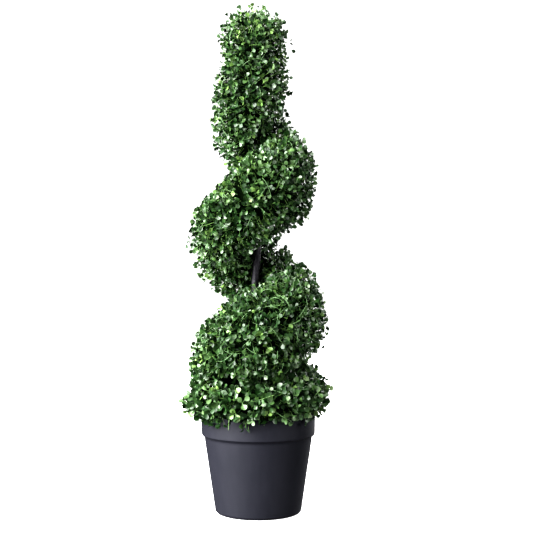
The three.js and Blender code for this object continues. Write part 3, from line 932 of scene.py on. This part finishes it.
def lay_leaves(sprigs, rng):
    """The leaves: pairs along each sprig's stem, each pair crosswise to the last, and two at its end."""
    count = len(sprigs["turns"])
    start = rng.uniform(0, TURN, count)
    grown = np.interp(sprigs["turns"], LEAF_TURNS, LEAF_GROWTH)
    parts = []
    for pair, share in enumerate((*LEAF_PAIRS, 1.0)):
        last = pair == len(LEAF_PAIRS)
        place = np.full(count, share) + (0 if last else 1) * rng.normal(0, PAIR_SCATTER, count)
        stem = stem_direction(sprigs, place)
        first, second = crosswise(stem)
        for side in range(2):
            twist = rng.normal(0, LEAF_TWIST, count)
            angle = start + pair * TURN / 4 + side * TURN / 2 + twist
            splay = np.radians(rng.normal(SPLAY["end" if last else "pair"], SPLAY["spread"], count))
            aside = first * np.cos(angle)[:, None] + second * np.sin(angle)[:, None]
            growth = unit(stem * np.cos(splay)[:, None] + aside * np.sin(splay)[:, None])
            facing = stem + LEAF_TURNED * rng.normal(size=(count, 3))
            facing = unit(facing - growth * np.sum(facing * growth, axis=1, keepdims=True))
            size = rng.uniform(*LEAF_LENGTH, count) * grown * (END_LEAF if last else 1)
            parts.append({
                "root": stem_points(sprigs, place),
                "growth": growth,
                "facing": facing,
                "length": size,
                "width": size * rng.uniform(*LEAF_ASPECT, count),
                "cup": rng.uniform(*LEAF_CUP, count),
                "curl": rng.uniform(*LEAF_CURL, count),
                # Each sprig's lowest pair takes the inner look, painted shade for the deep leaves.
                "colour": np.where(pair == 0, INNER_PAINTED_SHADE, sprigs["colours"]),
                "turns": sprigs["turns"],
                "stray": sprigs["stray"],
                "grows": sprigs["pairs"] | last,
            })
    return thinned({key: np.concatenate([part[key] for part in parts]) for key in parts[0]})


def thinned(leaves):
    """The leaves that fit, without those whose middles would be too close to one further out."""
    middle = leaves["root"] + leaves["growth"] * (leaves["length"] * LEAF_MIDDLE)[:, None]
    tips = leaves["root"] + leaves["growth"] * leaves["length"][:, None]
    fits = beside_rod(middle, leaves["turns"]) & leaves["grows"]
    fits &= under_trim(tips, leaves["turns"], LEAF_CLEAR["trim"])
    for points in (middle, tips):
        fits &= clear_of_rod(points, LEAF_CLEAR["rod"]) & clear_of_pot(points, LEAF_CLEAR["pot"])
        shares = place_of(points)[1]
        fits &= shares < np.where(leaves["stray"], LEAF_SHARE["stray"], LEAF_SHARE["most"])
    kept = np.flatnonzero(fits)
    kept = kept[np.argsort(-shares[kept])]
    kept = kept[spaced(middle[kept], LEAF_SPACING)]
    return {key: values[kept] for key, values in leaves.items()}


def make_foliage():
    rng = np.random.default_rng(SEED)
    make_core(rng)
    sprigs = lay_sprigs(rng)
    make_stems(sprigs)
    make_runners(sprigs, np.random.default_rng(SEED + 1))
    leaves = lay_leaves(sprigs, rng)
    for index, (name, (_, *look)) in enumerate(SPRAYS.items()):
        some = {key: values[leaves["colour"] == index] for key, values in leaves.items()}
        piece = make_leaves(f"leaves_{name}", some, leaf_plastic(f"leaf_{name}", *look))
        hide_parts(*FOLIAGE)


# ------------------------------------------------------------------ stage
FLOOR_RADIUS = 7.0
BACKDROP_RADIUS = FLOOR_RADIUS + 1
LIGHTS = {  # the place, what the light is aimed at, its width and height, and its power in watts
    "key_softbox": ((-2.9, -1.75, 1.75), (0, 0, 0.4), (4.3, 4.3), 1310),
    "fill_softbox": ((2.2, -1.6, 0.8), (0, 0, 0.4), (1.4, 1.6), 66),
    "top_softbox": ((0.1, 0.1, 2.6), (0, 0, 0.5), (1.4, 1.4), 6),
    "back_softbox": ((1.3, 2.3, 1.3), (0, 0, 0.45), (2.2, 2.2), 240),
    "floor_bounce": ((0, 0, -0.4), (0, 0, 0.45), (3.0, 3.0), 9),
}
WORLD_STRENGTH = 0.001
CAMERA_PLACE = (14.6 * MM, -1.97, 437.5 * MM)
FOCAL_LENGTH = 74.5  # in millimetres, as is the sensor's width
SENSOR_WIDTH = 36


def stage_piece(name, points, faces, material):
    """A piece of the studio. It shows to the camera, and its own glow doesn't reach the plant."""
    mesh = bpy.data.meshes.new(name)
    mesh.from_pydata(points, [], faces)
    mesh.materials.append(material)
    piece = bpy.data.objects.new(name, mesh)
    piece.visible_diffuse = False
    piece.visible_glossy = False
    piece.visible_shadow = False
    bpy.context.scene.collection.objects.link(piece)


def studio_white(name, paint, painted_shadow_glow, glow_far):
    """White that glows by itself, less so under the plant, where the floor is a little darker: a painted
    shadow.
    """
    finish = Finish(name)
    cloud = finish.noise(3, 2)
    away = finish.node("ShaderNodeVectorMath", {"operation": "LENGTH"}, {0: finish.place}, "Value")
    # Less glow near the middle: a painted shadow under the plant.
    glow = finish.ramp(away * 0.5, (0.1, painted_shadow_glow), (0.6, glow_far))
    shade = finish.blend(cloud, colour(paint, paint, paint), colour(paint, paint, paint * 1.01))
    return finish.surface({
        "Base Color": shade,
        "Roughness": 0.9,
        "Specular IOR Level": 0.0,
        "Emission Color": glow,
        "Emission Strength": 1.0,
    })


def circle(radius, height, sides):
    angles = [TURN * i / sides for i in range(sides)]
    return [(radius * math.cos(a), radius * math.sin(a), height) for a in angles]


def make_backdrop():
    """A round floor, and a dome round it that also reaches below the floor's edge."""
    sides, levels = 48, 12
    # Its glow of 0.8 under the plant, against 1.0 further off, is a painted shadow.
    floor_white = studio_white("white_studio_floor", 0.5, 0.8, 1.0)
    floor = circle(FLOOR_RADIUS, 0, sides)
    stage_piece("studio_floor", floor, [tuple(range(sides))], floor_white)
    rings = []
    for slope in np.radians(np.linspace(-30, 89, levels)):
        rings += circle(BACKDROP_RADIUS * math.cos(slope), BACKDROP_RADIUS * math.sin(slope), sides)
    faces = [tuple(int(i) for i in face) for face in tube_faces(levels, sides)]
    stage_piece("studio_backdrop", rings, faces, studio_white("white_studio_backdrop", 0.0, 1.0, 1.0))


def make_light(name, place, target, size, power):
    light = bpy.data.lights.new(name, "AREA")
    light.shape = "RECTANGLE"
    light.size, light.size_y = size
    light.energy = power
    lamp = bpy.data.objects.new(name, light)
    lamp.location = place
    aim = Vector(target) - Vector(place)
    lamp.rotation_euler = aim.to_track_quat("-Z", "Y").to_euler()
    lamp.visible_camera = False
    bpy.context.scene.collection.objects.link(lamp)


def make_studio():
    make_backdrop()
    for name, light in LIGHTS.items():
        make_light(name, *light)
    world = bpy.data.worlds.new("studio")
    world.use_nodes = True
    background = world.node_tree.nodes["Background"]
    background.inputs["Color"].default_value = colour(1, 1, 1)
    background.inputs["Strength"].default_value = WORLD_STRENGTH
    bpy.context.scene.world = world
    bpy.context.scene.view_settings.view_transform = "Standard"
    bpy.context.scene.view_settings.look = "High Contrast"


def make_camera():
    camera = bpy.data.cameras.new("camera")
    camera.lens = FOCAL_LENGTH
    camera.sensor_width = SENSOR_WIDTH
    holder = bpy.data.objects.new("camera", camera)
    holder.location = CAMERA_PLACE
    holder.rotation_euler = (math.pi / 2, 0, 0)
    bpy.context.scene.collection.objects.link(holder)
    bpy.context.scene.camera = holder


make_camera()
make_studio()
make_pot()
finish_filling()
make_rod()
make_wires()
make_foliage()
